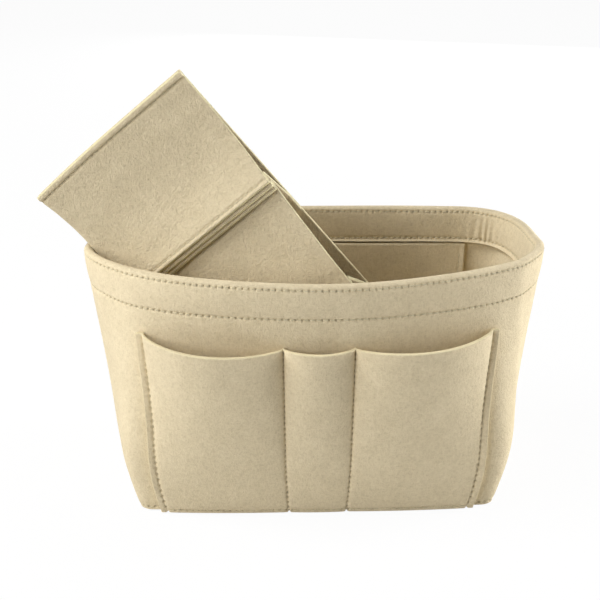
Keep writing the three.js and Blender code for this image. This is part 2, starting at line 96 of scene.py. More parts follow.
# Front pocket panel
POCKET_MOUTH = 111.5
POCKET_EDGE_LIFT = 3.0
POCKET_MOUTH_HALF = 105.0
POCKET_FOOT_HALF = 95.2
POCKET_WAIST = 3.0
POCKET_SEAM_MOUTH = 20.0
POCKET_SEAM_FOOT = 17.5
POCKET_HEM = 3.6
POCKET_DEPTHS = {"left": 18.0, "middle": 8.0, "right": 15.0}
POCKET_FOOT_DEPTH = 0.6
POCKET_FLARE = 1.2
POCKET_FULLNESS = 0.72
STRIP_LIFT = 0.8
SEAM_PULL = 1.6
SEAM_THREAD_SINK = 0.9

# Inner slip pocket
INNER_FLOOR = FELT + GAP
INNER_POCKET_TOP = 125.0
INNER_POCKET_HALF = 104.0
INNER_POCKET_DEPTH = 1.2
INNER_POCKET_FOOT_DEPTH = 1.0
INNER_STRIP_LIFT = 0.1
INNER_SEAM_PULL = 0.5

# Divider
CELL_LENGTH = 78.0
DIVIDER_LENGTH = 3 * CELL_LENGTH
DIVIDER_HEIGHT = 110.5
FIRST_RIDGE_DEPTH = 21.5
SECOND_RIDGE_DEPTH = 38.0
FIRST_PANEL_FLARE = 2.8
SECOND_PANEL_BOW = 1.5
THIRD_PANEL_BOW = 4.0
RIDGE_SETBACK = 6.0
RIDGE_BEND = 250.0
BEND_STEP = 0.5
RIDGE_ROW = 2.4
STRIP_LEAN = 25.0
STRIP_FOOT = 12.0
STRIP_FOLD = 2.4
STRIP_FOOT_BEND = 12.0
LIP_RUN = 3.0
FLANGE = 4.0
FLANGE_TURN = 1.8
END_SEAM_WIDTH = 5.4
SEAM_ROW = END_SEAM_WIDTH / 2
SEAM_END_MARGIN = 3.0
UPPER_END = -0.8
END_ROLL = 1.4
END_ROLL_LENGTH = 2.6
END_SPREAD = 0.8
DIVIDER_TILT = math.radians(50.2)
DIVIDER_YAW = math.radians(1)
DIVIDER_SETBACK = 7.8

# How far past the start of the ridge's bend the three layers of a ridge end: panel, strip and next panel
PANEL_BEND = 6.5
LIP_BEND = 8.5
FLANGE_BEND = 10.0

# How the divider's free upper corner sags: towards the ridge, down, and over what lengths
SAG_IN = 2.2
SAG_IN_LENGTH = 42.0
SAG_DOWN = 4.6
SAG_DOWN_LENGTH = 48.0

# Unevenness of the felt: wavelengths, heights, and where and how fast it dies away at held edges
WALL_WAVE = 70.0
WALL_UNEVEN = 0.35
WALL_FADE = 25.0
BASE_WAVE = 60.0
BASE_UNEVEN = 0.15
SHEET_WAVE = 80.0
SHEET_UNEVEN = 0.1
PANEL_WAVE = 55.0
PANEL_UNEVEN = 0.35
PANEL_LIFT = 0.5
PANEL_FADE = 12.0
PANEL_HELD_START = 12.0
PANEL_HELD_END = 9.0

# How the stitches press the felt
ROW_SINK = 0.3
END_SINK = 1.2
RIDGE_SINK = 0.6
ROW_WIDTH = 1.0
HOLE_DEPTH = 1.2
DIVIDER_HOLE_DEPTH = 0.5
HOLE_RADIUS = 0.55

# Camera: 600 x 600 frame, focal length in pixels
FRAME_PIXELS = 600
FOCAL_PIXELS = 1200
SENSOR = 36.0
CAMERA_TARGET = (-9.1, 0.0, 112.2)
CAMERA_DISTANCE = 742.7
CAMERA_ELEVATION = math.radians(23.3)
CAMERA_YAW = math.radians(1.5)

# Floor: half its width in metres, how pale it looks, its share of glow, and the light it throws back
FLOOR_HALF = 10.0
FLOOR_PALE = 0.9
FLOOR_GLOW = 0.94
FLOOR_BOUNCE = 0.68

# Lamps: width and height in metres of a soft and of a low lamp, and the light from all round
SOFT_LAMP = (0.8, 0.8)
LOW_LAMP = (0.8, 0.3)
WORLD_LIGHT = 0.02


# Numeric helpers

def smooth_step(value):
    t = np.clip(value, 0.0, 1.0)
    return t * t * (3 - 2 * t)


def unit(vectors):
    return vectors / np.maximum(np.linalg.norm(vectors, axis=-1, keepdims=True), 1e-9)


def bell(distance, width):
    return np.exp(-((distance / width) ** 2))


def undulation(u, v, seed, wavelength, amplitude):
    """Gentle unevenness of felt, as a sum of waves in seeded directions."""
    waves = 7
    rng = np.random.default_rng(seed)
    total = np.zeros(np.broadcast(u, v).shape)
    for _ in range(waves):
        angle, phase = rng.uniform(0, 2 * math.pi, 2)
        pace = 2 * math.pi / (wavelength * rng.uniform(0.7, 1.5))
        total = total + np.sin(pace * (u * math.cos(angle) + v * math.sin(angle)) + phase)
    return amplitude * total / math.sqrt(waves)


def levels(bottom, top, rows=(), spacing=4.0):
    """Heights from bottom to top, closer together at stitch rows."""
    near = np.array([-3.0, -2.0, -1.3, -0.8, -0.4, 0.0, 0.4, 0.8, 1.3, 2.0, 3.0])
    plain = np.linspace(bottom, top, max(2, round((top - bottom) / spacing) + 1))
    kept = [z for z in plain if all(abs(z - row) > 3.4 for row in rows)]
    dense = [z for row in rows for z in row + near if bottom < z < top]
    return np.unique(np.round(np.concatenate([[bottom], kept, dense, [top]]), 4))


def hole_pattern(along, across, sink=ROW_SINK, depth=HOLE_DEPTH):
    """Depth of the dents that a stitch row leaves: a groove with a needle hole every stitch."""
    place = np.abs((along / STITCH + 0.5) % 1.0 - 0.5) * STITCH
    holes = depth * bell(place, HOLE_RADIUS) * bell(across, HOLE_RADIUS)
    return sink * bell(across, ROW_WIDTH) + holes


# Meshes

def grid_quads(columns, rows, offset=0, flip=False):
    index = np.arange(columns * rows).reshape(columns, rows) + offset
    corners = [index[:-1, :-1], index[1:, :-1], index[1:, 1:], index[:-1, 1:]]
    if flip:
        corners.reverse()
    return np.stack(corners, axis=-1).reshape(-1, 4)


def loop_quads(first, second):
    """Quads between two closed loops of point numbers."""
    return np.stack([first, np.roll(first, -1), np.roll(second, -1), second], axis=-1)


def faces_point_out(points, quads):
    a, b, c, d = (points[quads[:, k]] for k in range(4))
    return (a * (np.cross(b, c) + np.cross(c, d))).sum() > 0


def new_piece(name, points, quads, material, cut=None, ends=()):
    """Piece from points in millimetres and quads, with how much each point is a cut edge that gets a painted
    highlight.
    """
    if not faces_point_out(points, quads):
        quads = quads[:, ::-1]
        ends = [face[::-1] for face in ends]
    mesh = bpy.data.meshes.new(name)
    mesh.from_pydata((points * MM).tolist(), [], quads.tolist() + [list(face) for face in ends])
    mesh.polygons.foreach_set("use_smooth", [True] * len(mesh.polygons))
    # The cut attribute is the share of a painted highlight that the felt lays on cut edges.
    attribute = mesh.attributes.new("cut", "FLOAT", "POINT")
    attribute.data.foreach_set("value", np.zeros(len(points)) if cut is None else cut)
    mesh.materials.append(material)
    mesh.update()
    piece = bpy.data.objects.new(name, mesh)
    bpy.context.scene.collection.objects.link(piece)
    return piece


def rim_numbers(columns, rows):
    """Numbers of a grid's border points, once round."""
    index = np.arange(columns * rows).reshape(columns, rows)
    return np.concatenate([index[:-1, 0], index[-1, :-1], index[:0:-1, -1], index[0, :0:-1]])


def outward_in_sheet(grid):
    """Direction from each border point of a grid away from the sheet, in the sheet's own surface."""
    out = np.zeros_like(grid)
    out[0] += unit(grid[0] - grid[1])
    out[-1] += unit(grid[-1] - grid[-2])
    out[:, 0] += unit(grid[:, 0] - grid[:, 1])
    out[:, -1] += unit(grid[:, -1] - grid[:, -2])
    return unit(out)


def felt_sheet(name, front, back, material, edge=1.0):
    """Sheet of felt between two grids of points, with rounded edges that get a painted highlight as cut
    edges, by a share.
    """
    columns, rows = front.shape[:2]
    count = columns * rows
    border = rim_numbers(columns, rows)
    front_points, back_points = front.reshape(-1, 3), back.reshape(-1, 3)
    out = outward_in_sheet((front + back) / 2).reshape(-1, 3)[border]
    rings, loops = [], [border]
    for number, (share, push) in enumerate([(0.12, 0.75), (0.5, 1.0), (0.88, 0.75)]):
        ring = front_points[border] * (1 - share) + back_points[border] * share
        rings.append(ring + out * push * EDGE_ROUND)
        loops.append(2 * count + number * len(border) + np.arange(len(border)))
    loops.append(border + count)
    quads = [grid_quads(columns, rows), grid_quads(columns, rows, count, flip=True)]
    quads += [loop_quads(a, b)[:, ::-1] for a, b in zip(loops[:-1], loops[1:])]
    points = np.concatenate([front_points, back_points, *rings])
    # The edge rings get the painted highlight of cut edges, by the share edge.
    cut = np.concatenate([np.zeros(2 * count), np.full(3 * len(border), edge)])
    return new_piece(name, points, np.concatenate(quads), material, cut)


def stitch_row(name, holes, normals, material, seed):
    """Row of stitches from hole to hole, each a thread that rises out of one hole and dips into the next."""
    rng = np.random.default_rng(seed)
    sides, rings = 6, 7
    travel = np.linspace(0.06, 0.94, rings)
    height = STITCH_RISE - STITCH_DIP * np.abs(2 * travel - 1) ** 3
    swell = np.sqrt(np.clip(1 - 0.75 * np.abs(2 * travel - 1) ** 4, 0, 1))
    angle = np.arange(sides) * 2 * math.pi / sides
    points, quads, ends = [], [], []
    for number in range(len(holes) - 1):
        start, end = holes[number], holes[number + 1]
        normal = unit(normals[number] + normals[number + 1])
        along = unit(end - start)
        side = unit(np.cross(along, normal))
        sway = side * rng.normal(0, STITCH_SWAY)
        base = len(points) * rings * sides
        lift = rng.normal(0, STITCH_LIFT)
        ring_points = []
        for t, h, s in zip(travel, height, swell):
            centre = start + (end - start) * t + normal * (h + lift) + sway * math.sin(math.pi * t)
            spread = np.outer(np.cos(angle), side) * 1.08 + np.outer(np.sin(angle), normal) * 0.9
            ring_points.append(centre + spread * (s * THREAD / 2))
        points.append(np.concatenate(ring_points))
        loops = base + np.arange(rings * sides).reshape(rings, sides)
        quads += [loop_quads(loops[k], loops[k + 1])[:, ::-1] for k in range(rings - 1)]
        ends += [loops[0].tolist(), loops[-1][::-1].tolist()]
    return new_piece(name, np.concatenate(points), np.concatenate(quads), material, ends=ends)


# Basket outlines

class Outline:
    """Plan outline that is read by the share of its length."""

    def __init__(self, points):
        self.points = np.asarray(points, float)
        steps = np.linalg.norm(np.diff(self.points, axis=0), axis=1)
        self.lengths = np.concatenate([[0.0], np.cumsum(steps)])
        self.length = self.lengths[-1]

    def at(self, share):
        place = np.clip(share, 0.0, 1.0) * self.length
        return np.stack([np.interp(place, self.lengths, self.points[:, k]) for k in (0, 1)], axis=-1)


def quadratic(start, control, end, count=40):
    t = np.linspace(0, 1, count)[:, None]
    return (1 - t) ** 2 * start + 2 * t * (1 - t) * control + t ** 2 * end


def cornered_half(side, tip_x, corner_x, depth, bow, fillet):
    """Half outline with straight ends, two rounded corners and a bowed long edge; side is -1 in front."""
    corner_y = depth - bow
    cut = fillet / math.hypot(tip_x - corner_x, corner_y)
    tip = np.array([tip_x, 0.0])
    end = np.array([corner_x + (tip_x - corner_x) * cut, side * corner_y * (1 - cut)])
    corner = np.array([corner_x, side * corner_y])
    edge = np.array([corner_x - fillet, side * corner_y])
    crown = np.array([0.0, side * (depth + bow)])
    mirror = np.array([-1.0, 1.0])
    return Outline(np.vstack([
        tip * mirror,
        quadratic(end * mirror, corner * mirror, edge * mirror),
        quadratic(edge * mirror, crown, edge),
        quadratic(edge, corner, end),
        tip,
    ]))


def front_rim():
    turn = np.linspace(0, math.pi, 2001)
    power = 2 / RIM_ROUNDNESS
    x = -RIM_HALF_LENGTH * np.sign(np.cos(turn)) * np.abs(np.cos(turn)) ** power
    y = -RIM_FRONT * np.abs(np.sin(turn)) ** power
    return Outline(np.stack([x, y], axis=-1))


def back_rim():
    corner = RIM_HALF_LENGTH - RIM_CORNER_INSET
    return cornered_half(1, RIM_HALF_LENGTH, corner, RIM_BACK, RIM_BACK_BOW, RIM_CORNER_FILLET)


def base_half(side):
    return cornered_half(side, BASE_HALF_LENGTH, BASE_HALF_LENGTH, BASE_HALF_DEPTH, BASE_BOW, BASE_CORNER)


def foot_half(side):
    length = BASE_HALF_LENGTH + SIDE_SWELL
    depth = BASE_HALF_DEPTH + FACE_SWELL
    return cornered_half(side, length, length, depth, BASE_BOW, BASE_CORNER + SIDE_SWELL / 2)


class Half:
    """One wall of the basket: its outlines at the rim, at the foot and at the base."""

    def __init__(self, side, rim, seed):
        self.side = side
        self.rim = rim
        self.foot = foot_half(side)
        self.base = base_half(side)
        self.seed = seed
        self.length = rim.length


FRONT = Half(-1, front_rim(), seed=11)
BACK = Half(1, back_rim(), seed=12)


def wall_plan(half, share, z):
    rim, foot, base = half.rim.at(share), half.foot.at(share), half.base.at(share)
    tuck = np.maximum(0.0, 1 - z / SWELL_HEIGHT)[..., None] ** 2
    return foot + (rim - foot) * (z / HEIGHT)[..., None] + (base - foot) * tuck


def from_tip(half, share):
    """Distance along the rim from the nearer tip."""
    return np.minimum(share, 1 - share) * half.length


def wall_out(half, share, z):
    """Outward direction of a wall in plan, turning square to the length at the two tips."""
    step = 0.004
    run = unit(wall_plan(half, share + step, z) - wall_plan(half, share - step, z))
    normal = np.stack([-half.side * run[..., 1], half.side * run[..., 0]], axis=-1)
    tip = np.stack([np.where(share < 0.5, -1.0, 1.0), np.zeros_like(share)], axis=-1)
    blend = smooth_step(from_tip(half, share) / TIP_ROUND)[..., None]
    return unit(tip * (1 - blend) + normal * blend)


def wall_relief(half, share, z):
    """Soft unevenness of a wall that dies away at tips and floor, and the front wall's right corner."""
    fade = smooth_step(from_tip(half, share) / WALL_FADE) * smooth_step(z / WALL_FADE)
    uneven = fade * undulation(share * half.length, z, half.seed, WALL_WAVE, WALL_UNEVEN)
    if half is not FRONT:
        return uneven
    corner = bell((1 - share) * half.length - CORNER_PLACE, CORNER_WIDTH)
    return uneven + CORNER_RISE * corner * smooth_step(z / CORNER_FADE)


def wall_points(half, share, z, distance):
    """Points at a distance out from a wall's outer face."""
    share, z, distance = np.broadcast_arrays(share, z, distance)
    plan = wall_plan(half, share, z)
    out = wall_out(half, share, z) * (distance + wall_relief(half, share, z))[..., None]
    y = plan[..., 1] + half.side * SEAM_GAP / 2
    return np.stack([plan[..., 0] + out[..., 0], y + out[..., 1], z.astype(float)], axis=-1)


def wall_normals(half, share, z):
    out = wall_out(half, share, z)
    return np.concatenate([out, np.zeros_like(out[..., :1])], axis=-1)


# Basket walls

def hole_count(half):
    return round(half.length / STITCH)


def wall_section():
    """Section of a wall with its hem: depth in from the outer face, height, side (1 out, -1 in), and cut, the
    share of painted highlight on cut edges.
    """
    outside = levels(0.7, HEIGHT - FELT, (BASE_ROW, HEM_ROW, RIM_ROW))
    inside_hem = levels(HEM_BOTTOM + 0.5, HEIGHT - FELT, (HEM_ROW, RIM_ROW))[::-1]
    inside = levels(0.7, HEM_BOTTOM)[::-1]
    turn = np.linspace(0, math.pi, 15)[1:-1]
    rows = [(0.0, z, 1, 0) for z in outside]
    rows += [(FELT * (1 - math.cos(a)), HEIGHT - FELT + FELT * math.sin(a), math.cos(a), 0) for a in turn]
    rows += [(2 * FELT, z, -1, 0) for z in inside_hem]
    # The hem's cut edge and the wall's bottom edge get the painted highlight.
    hem_edge = ((2 * FELT - 0.5, 0.0), (1.5 * FELT, 0.15), (FELT + 0.4, 0.0))
    rows += [(depth, HEM_BOTTOM - drop, -1, 1) for depth, drop in hem_edge]
    rows += [(FELT, z, -1, 0) for z in inside]
    rows += [(FELT - 0.6, 0.1, 0, 1), (0.6, 0.1, 0, 1)]
    return np.array(rows).T


def hem_wrinkles(half, share, z):
    """Upright wrinkles inside the hem where the back wall turns its corners."""
    if half is not BACK:
        return np.zeros_like(z)
    corner = from_tip(half, share) - WRINKLE_PLACE
    rise = smooth_step((z - HEM_BOTTOM) / 3)
    window = bell(corner, WRINKLE_SPREAD) * rise * smooth_step((HEIGHT - 4 - z) / 6)
    pace = 2 * math.pi / WRINKLE_PACE
    return WRINKLE_DEPTH * window * np.sin(corner * pace + 0.9 * np.sin(0.31 * corner) + 0.07 * (z - HEM_ROW))


def wall_dents(half, share, z, side, depth):
    """How far stitches, hem and wrinkles move a wall's faces, outward positive."""
    along = share * hole_count(half) * STITCH
    rows = hole_pattern(along, z - RIM_ROW) + hole_pattern(along, z - HEM_ROW)
    base_row = hole_pattern(along, z - BASE_ROW) * (side > 0)
    doubled = (z > HEM_BOTTOM) & ((side > 0) | (depth > 1.5 * FELT))
    between = np.clip((z - HEM_ROW) / (RIM_ROW - HEM_ROW), 0, 1)
    puff = HEM_PUFF * np.sin(math.pi * between)
    lip = HEM_LIP * smooth_step((HEM_ROW - 0.8 - z) / 1.9) * (side < 0)
    dents = np.where(doubled, puff + lip - rows, -base_row)
    wrinkles = hem_wrinkles(half, share, z) * (side < 0) * (depth > 1.5 * FELT)
    return np.sign(side) * (dents + wrinkles)


def wall_piece(name, half, material):
    depth, z, side, cut = wall_section()
    columns = np.linspace(0, 1, hole_count(half) * COLUMNS_PER_STITCH + 1)
    share = np.repeat(columns[:, None], len(z), axis=1)
    height = np.repeat(z[None, :], len(columns), axis=0)
    distance = -depth + wall_dents(half, share, height, side, depth)
    points = wall_points(half, share, height, distance).reshape(-1, 3)
    count = len(z)
    numbers = np.arange(len(points)).reshape(-1, count)
    quads = np.concatenate([loop_quads(a, b) for a, b in zip(numbers[:-1], numbers[1:])])
    ends = [numbers[0].tolist(), numbers[-1][::-1].tolist()]
    return new_piece(name, points, quads, material, np.tile(cut, len(columns)), ends)


def base_piece(name, material):
    """Base of felt inside the foot of the walls, as rings round its middle."""
    columns = np.linspace(0, 1, 121)
    edge = []
    for half, order in ((FRONT, columns), (BACK, columns[::-1])):
        edge.append(wall_points(half, order[:-1], np.zeros(120), np.full(120, -FELT - 0.1)))
    outline = np.concatenate(edge)
    rings, cut = [], []
    # The two lowest rings are the base's cut edge and get the painted highlight.
    for share, z, cut_edge_highlight in [(0.998, 0.1, 1), (1.0, 1.5, 1), (0.998, 2.9, 0)]:
        rings.append(outline * [share, share, 0] + [0, 0, z])
        cut.append(np.full(len(outline), float(cut_edge_highlight)))
    for share in np.linspace(0.97, 0.03, 26):
        ring = outline * [share, share, 0]
        ring[:, 2] = FELT + undulation(ring[:, 0], ring[:, 1], 21, BASE_WAVE, BASE_UNEVEN)
        rings.append(ring)
        cut.append(np.zeros(len(outline)))
    points = np.concatenate(rings)
    numbers = np.arange(len(points)).reshape(len(rings), -1)
    quads = np.concatenate([loop_quads(a, b) for a, b in zip(numbers[:-1], numbers[1:])])
    ends = [numbers[0][::-1].tolist(), numbers[-1].tolist()]
    return new_piece(name, points, quads, material, np.concatenate(cut), ends)


def rim_row(name, z, distance, facing, material, seed):
    """Stitches right round the basket at one height, on the outer or the inner face."""
    pieces = []
    for half, flip in ((FRONT, False), (BACK, True)):
        share = np.linspace(0, 1, hole_count(half) + 1)
        share = share[::-1] if flip else share
        height = np.full(len(share), z)
        holes = wall_points(half, share, height, np.full(len(share), distance))
        pieces.append((holes, facing * wall_normals(half, share, height)))
    holes = np.concatenate([pieces[0][0], pieces[1][0][1:]])
    normals = np.concatenate([pieces[0][1], pieces[1][1][1:]])
    return stitch_row(name, holes, normals, material, seed)


def base_row(name, material):
    """Stitches along the foot of the walls, from the pocket panel's right edge round the back to its left."""
    edge = pocket_share(1.0, np.array(BASE_ROW)) + 0.5 * STITCH / FRONT.length
    front = np.linspace(0, 1, hole_count(FRONT) + 1)
    back = np.linspace(1, 0, hole_count(BACK) + 1)
    runs = [(FRONT, front[front > edge]), (BACK, back[1:]), (FRONT, front[(front > 0) & (front < 1 - edge)])]
    holes, normals = [], []
    for half, share in runs:
        height = np.full(len(share), BASE_ROW)
        holes.append(wall_points(half, share, height, np.full(len(share), -THREAD_SINK)))
        normals.append(wall_normals(half, share, height))
    return stitch_row(name, np.concatenate(holes), np.concatenate(normals), material, 5)


# Front pocket panel

def pocket_edge(z):
    rise = z / POCKET_MOUTH
    straight = POCKET_FOOT_HALF + (POCKET_MOUTH_HALF - POCKET_FOOT_HALF) * rise
    return straight - POCKET_WAIST * np.sin(math.pi * rise)


def pocket_share(place, z):
    return 0.5 + place * pocket_edge(z) / FRONT.length


def seam_places(z):
    """Place across the panel of the right middle seam and of the right edge seam."""
    edge = pocket_edge(z)
    middle = POCKET_SEAM_FOOT + (POCKET_SEAM_MOUTH - POCKET_SEAM_FOOT) * z / POCKET_MOUTH
    return middle / edge, 1 - POCKET_HEM / edge


def crowded(count):
    """Shares from 0 to 1 that crowd towards both ends."""
    t = np.linspace(0, 1, count + 1)
    return 0.3 * t + 0.7 * (1 - np.cos(math.pi * t)) / 2


def pocket_columns():
    """Columns across the panel: name of the span, and share across that span."""
    spans = [("left_hem", 6), ("left", 56), ("middle", 34), ("right", 56), ("right_hem", 6)]
    columns = [("left_hem", 0.0)]
    for name, count in spans:
        columns += [(name, share) for share in crowded(count)[1:]]
    return columns


def pocket_bulge(depth, foot_depth, share, rise):
    fullness = np.maximum(np.sin(math.pi * share), 0.0) ** POCKET_FULLNESS
    return (foot_depth + (depth - foot_depth) * rise ** POCKET_FLARE) * fullness


def pocket_column(name, share, z):
    """Place across the panel and stand-off of one column, at heights of the plain panel."""
    middle, side = seam_places(z)
    spans = {
        "left_hem": (-np.ones_like(z), -side),
        "left": (-side, -middle),
        "middle": (-middle, middle),
        "right": (middle, side),
        "right_hem": (side, np.ones_like(z)),
    }
    start, end = spans[name]
    place = start + (end - start) * share
    if name in POCKET_DEPTHS:
        rise = np.clip(z / POCKET_MOUTH, 0, 1)
        return place, pocket_bulge(POCKET_DEPTHS[name], POCKET_FOOT_DEPTH, share, rise)
    free = 1 - share if name == "left_hem" else share
    return place, STRIP_LIFT * free ** 1.5 * smooth_step(z / 25)


def pocket_top(place):
    middle, _ = seam_places(POCKET_MOUTH)
    climb = np.maximum(0.0, (np.abs(place) - middle) / (1 - middle))
    return POCKET_MOUTH + POCKET_EDGE_LIFT * climb


def pocket_seam_holes():
    return np.arange(BASE_ROW + 2, POCKET_MOUTH - 1.5, STITCH)


def pocket_panel(name, material):
    rises = np.linspace(0.006, 1, 151)
    outer, inner = [], []
    for span, share in pocket_columns():
        top = pocket_top(pocket_column(span, share, np.array(POCKET_MOUTH))[0])
        level = rises * POCKET_MOUTH
        z = rises * top
        place, bulge = pocket_column(span, share, level)
        middle, side = seam_places(level)
        edge = pocket_edge(level)
        along = level - pocket_seam_holes()[0]
        seams = np.zeros_like(level)
        for seam in (-side, -middle, middle, side):
            seams = np.maximum(seams, hole_pattern(along, (place - seam) * edge))
        foot = hole_pattern(place * edge, level - BASE_ROW)
        share_along = pocket_share(place, level)
        outer.append(wall_points(FRONT, share_along, z, GAP + FELT + bulge - SEAM_PULL * seams - foot))
        inner.append(wall_points(FRONT, share_along, z, GAP + bulge))
    # Its cut edges get half the painted highlight.
    return felt_sheet(name, np.array(outer), np.array(inner), material, 0.5)


def pocket_seam(name, turn, which, material, seed):
    """Stitches up one seam of the front pocket panel; which is 0 for a middle seam and 1 for an edge seam."""
    z = pocket_seam_holes()
    share = pocket_share(turn * seam_places(z)[which], z)
    holes = wall_points(FRONT, share, z, np.full(len(z), GAP + FELT - SEAM_THREAD_SINK))
    return stitch_row(name, holes, wall_normals(FRONT, share, z), material, seed)


def pocket_stand_off(place, z):
    """How far the panel bulges off the wall at places across it."""
    middle, side = seam_places(z)
    total = np.zeros_like(place)
    for name, start, end in (("left", -side, -middle), ("middle", -middle, middle), ("right", middle, side)):
        share = np.clip((place - start) / (end - start), 0, 1)
        total = total + pocket_bulge(POCKET_DEPTHS[name], POCKET_FOOT_DEPTH, share, z / POCKET_MOUTH)
    return total


def pocket_foot_row(name, material):
    edge = pocket_edge(BASE_ROW)
    place = np.arange(-edge + 5, edge - 4, STITCH) / edge
    z = np.full(len(place), BASE_ROW)
    share = pocket_share(place, z)
    holes = wall_points(FRONT, share, z, GAP + FELT + pocket_stand_off(place, z) - THREAD_SINK)
    return stitch_row(name, holes, wall_normals(FRONT, share, z), material, 6)


# Inner slip pocket

def inner_pocket_share(place):
    return 0.5 + place * INNER_POCKET_HALF / BACK.length


def inner_pocket(name, material):
    hem = POCKET_HEM / INNER_POCKET_HALF
    places = np.concatenate([np.linspace(-1, -1 + hem, 6)[:-1], -1 + hem + (2 - 2 * hem) * crowded(70),
                             np.linspace(1 - hem, 1, 6)[1:]])
    z = np.linspace(INNER_FLOOR + 0.5, INNER_POCKET_TOP, 90)
    place, height = np.meshgrid(places, z, indexing="ij")
    across = np.clip((place + 1 - hem) / (2 - 2 * hem), 0, 1)
    rise = (height - INNER_FLOOR) / (INNER_POCKET_TOP - INNER_FLOOR)
    bulge = pocket_bulge(INNER_POCKET_DEPTH, INNER_POCKET_FOOT_DEPTH, across, rise)
    lift = INNER_STRIP_LIFT * np.clip((np.abs(place) - 1 + hem) / hem, 0, 1)
    from_seam = (np.abs(place) - 1 + hem) * INNER_POCKET_HALF
    seams = hole_pattern(height - INNER_FLOOR - SEAM_END_MARGIN, from_seam)
    share = inner_pocket_share(place)
    near = wall_points(BACK, share, height, -FELT - GAP - bulge - lift)
    far = wall_points(BACK, share, height, -2 * FELT - GAP - bulge - lift + INNER_SEAM_PULL * seams)
    # Its cut edges get no painted highlight.
    return felt_sheet(name, far, near, material, 0.0)


def inside_seam(name, half, share, depth, material, seed):
    """Stitches up the inside of a wall, clear of the floor and of the hem."""
    z = np.arange(INNER_FLOOR + SEAM_END_MARGIN, INNER_POCKET_TOP - SEAM_END_MARGIN, STITCH)
    place = np.full(len(z), share)
    holes = wall_points(half, place, z, np.full(len(z), -depth))
    return stitch_row(name, holes, -wall_normals(half, place, z), material, seed)


# Divider, in its own frame: p along its length, q from its bottom edge to its mouths, r to its front

ON_BACK_SHEET = 1.5 * FELT + GAP


def first_panel_middle(p):
    """Height of the middle of the first front panel: flat on the back sheet, then flaring up to its ridge."""
    share = np.clip((p - END_SEAM_WIDTH) / (CELL_LENGTH - END_SEAM_WIDTH), 0, None)
    return ON_BACK_SHEET + FIRST_RIDGE_DEPTH * share ** FIRST_PANEL_FLARE


def front_rim_half_length(y):
    return RIM_HALF_LENGTH * (1 - (abs(y) / RIM_FRONT) ** RIM_ROUNDNESS) ** (1 / RIM_ROUNDNESS)


def back_rim_half_length(y):
    return RIM_HALF_LENGTH - RIM_CORNER_INSET * max(0.0, y) / (RIM_BACK - RIM_BACK_BOW)


def divider_axes():
    """Directions of p, q and r in the model's frame."""
    tilt_cos, tilt_sin = math.cos(DIVIDER_TILT), math.sin(DIVIDER_TILT)
    yaw_cos, yaw_sin = math.cos(DIVIDER_YAW), math.sin(DIVIDER_YAW)
    turn = np.array([[yaw_cos, -yaw_sin, 0], [yaw_sin, yaw_cos, 0], [0, 0, 1]])
    p = turn @ np.array([tilt_cos, 0, -tilt_sin])
    q = turn @ np.array([tilt_sin, 0, tilt_cos])
    r = turn @ np.array([0, -1, 0])
    return np.array([p, q, r])


def divider_corner():
    """Lower corner of the divider's back face: on the floor, its bottom edge on the rim's left end."""
    floor = FELT + GAP
    tilt_cos, tilt_sin = math.cos(DIVIDER_TILT), math.sin(DIVIDER_TILT)
    to_rim = (HEIGHT - floor) / tilt_sin
    front_reach = first_panel_middle(DIVIDER_LENGTH - to_rim) + FELT / 2
    back_y = DIVIDER_SETBACK - to_rim * tilt_cos * math.sin(DIVIDER_YAW)
    fold_x = FELT - min(front_rim_half_length(back_y - front_reach), back_rim_half_length(back_y))
    run = ((HEIGHT - FELT - floor) * tilt_cos + FELT + GAP) / tilt_sin
    return np.array([fold_x + run * math.cos(DIVIDER_YAW), DIVIDER_SETBACK, floor])


DIVIDER_AXES = divider_axes()
DIVIDER_CORNER = divider_corner()


def divider_points(p, q, r):
    p, q, r = np.broadcast_arrays(p, q, r)
    low = 1 - q / DIVIDER_HEIGHT
    sag_in = SAG_IN * np.clip(2 * low - 1, 0, 1) ** 2 * np.clip(1 - p / SAG_IN_LENGTH, 0, 1) ** 2
    sag_down = SAG_DOWN * low ** 2 * np.clip(1 - p / SAG_DOWN_LENGTH, 0, 1) ** 2
    place = np.stack([p + sag_in - DIVIDER_LENGTH, q - sag_down, r], axis=-1)
    return DIVIDER_CORNER + place @ DIVIDER_AXES


def divider_heights():
    return np.linspace(EDGE_ROUND, DIVIDER_HEIGHT - EDGE_ROUND, 220)


def line_normals(line):
    run = unit(np.gradient(line, axis=0))
    return np.stack([-run[:, 1], run[:, 0]], axis=-1)


def line_lengths(line):
    return np.concatenate([[0.0], np.cumsum(np.linalg.norm(np.diff(line, axis=0), axis=1))])


def end_spread(p):
    """How far the two sheets of the upper end seam part between their stitches and their cut edges."""
    return END_SPREAD * np.clip(1 - p / SEAM_ROW, 0, None) ** 2


def ridge_bend(line, length):
    """Points that carry a front panel's line on for a length, bending out to its ridge."""
    run = unit(line[-1] - line[-2])
    slope = math.atan2(run[1], run[0])
    angle = slope + np.linspace(0, length, round(length / BEND_STEP) + 1) / RIDGE_BEND
    turn = np.stack([np.sin(angle) - math.sin(slope), math.cos(slope) - np.cos(angle)], axis=-1)
    return line[-1] + RIDGE_BEND * turn


def layer_under(bend, count):
    """Middle of the sheet that lies a number of sheets under a bend."""
    return bend - line_normals(bend) * count * (FELT + SEAM_GAP)


